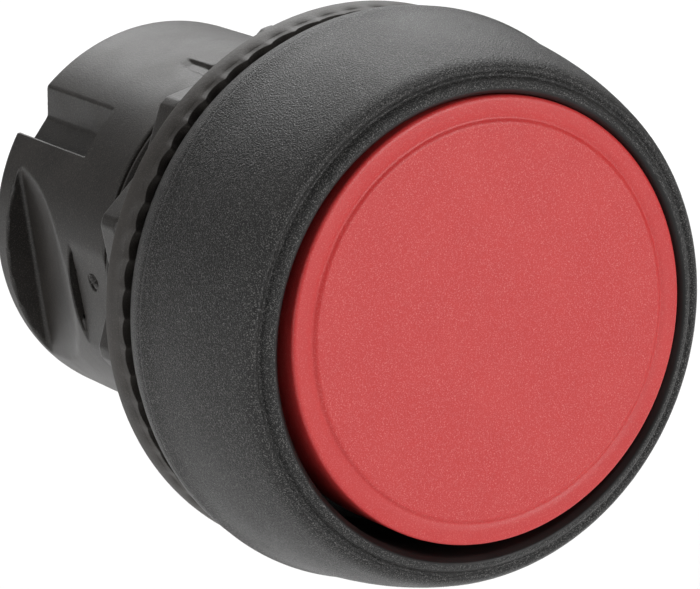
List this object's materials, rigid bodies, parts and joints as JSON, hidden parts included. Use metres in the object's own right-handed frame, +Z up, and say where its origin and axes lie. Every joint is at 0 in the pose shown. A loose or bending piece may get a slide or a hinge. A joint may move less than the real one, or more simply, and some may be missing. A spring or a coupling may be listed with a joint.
{
  "type": "flush stop push button",
  "caption": "Panel-mount momentary push-button head: flush red round cap in a domed black bezel, serrated gasket, threaded neck with star nut, barrel with coupling scoops for a contact block.",
  "frame": {"origin": "on the button axis, in the plane of the gasket's rear face, where the front of the panel is", "axes": "+Y along the button axis, from the cap towards the contact block, which is the way the cap is pressed; +Z up, at 12 o'clock"},
  "size_m": [0.03, 0.0334, 0.03],
  "materials": {
    "bezel_black": "fine spark-eroded texture, satin",
    "barrel_black": "smooth moulded, slightly brownish black",
    "gasket_rubber": "hard matt rubber",
    "seal_rubber": "soft black rubber",
    "inner_black": "smooth moulded",
    "cap_red": "fine matt texture in the centre, smooth rim",
    "plunger_natural": "smooth natural acetal",
    "spring_steel": "bright zinc"
  },
  "bodies": {
    "housing": {"bezel": "bezel_black", "bezel_o_ring": "seal_rubber", "flange_retainer": "inner_black", "barrel": "barrel_black", "guide_sleeve": "inner_black", "panel_gasket": "gasket_rubber", "stem_seal": "seal_rubber", "seal_clamp": "spring_steel", "return_spring": "spring_steel"},
    "button": {"button_cap": "cap_red", "plunger": "plunger_natural", "cap_snap_ring": "inner_black", "rest_bumper": "seal_rubber", "pusher": "inner_black", "pusher_clip": "spring_steel"},
    "washer": {"thrust_washer": "spring_steel"},
    "nut": {"mounting_nut": "barrel_black"}
  },
  "joints": [
    {"name": "button_press", "type": "slide", "parent": "housing", "child": "button", "axis": [0, 1, 0], "range_m": [0, 0.004], "stiffness_N_per_m": 500, "springref_m": -0.005, "deforming": ["return_spring"]},
    {"name": "nut_travel", "type": "slide", "parent": "housing", "child": "washer", "axis": [0, 1, 0], "range_m": [-0.0005, 0.0033]},
    {"name": "nut_spin", "type": "hinge", "parent": "washer", "child": "nut", "pos_m": [0, 0.003, 0], "axis": [0, 1, 0], "range_deg": [-180, 1188]}
  ],
  "couplings": [
    {"joint": "nut_spin", "follows": "nut_travel", "rad_per_m": 6283.2}
  ]
}
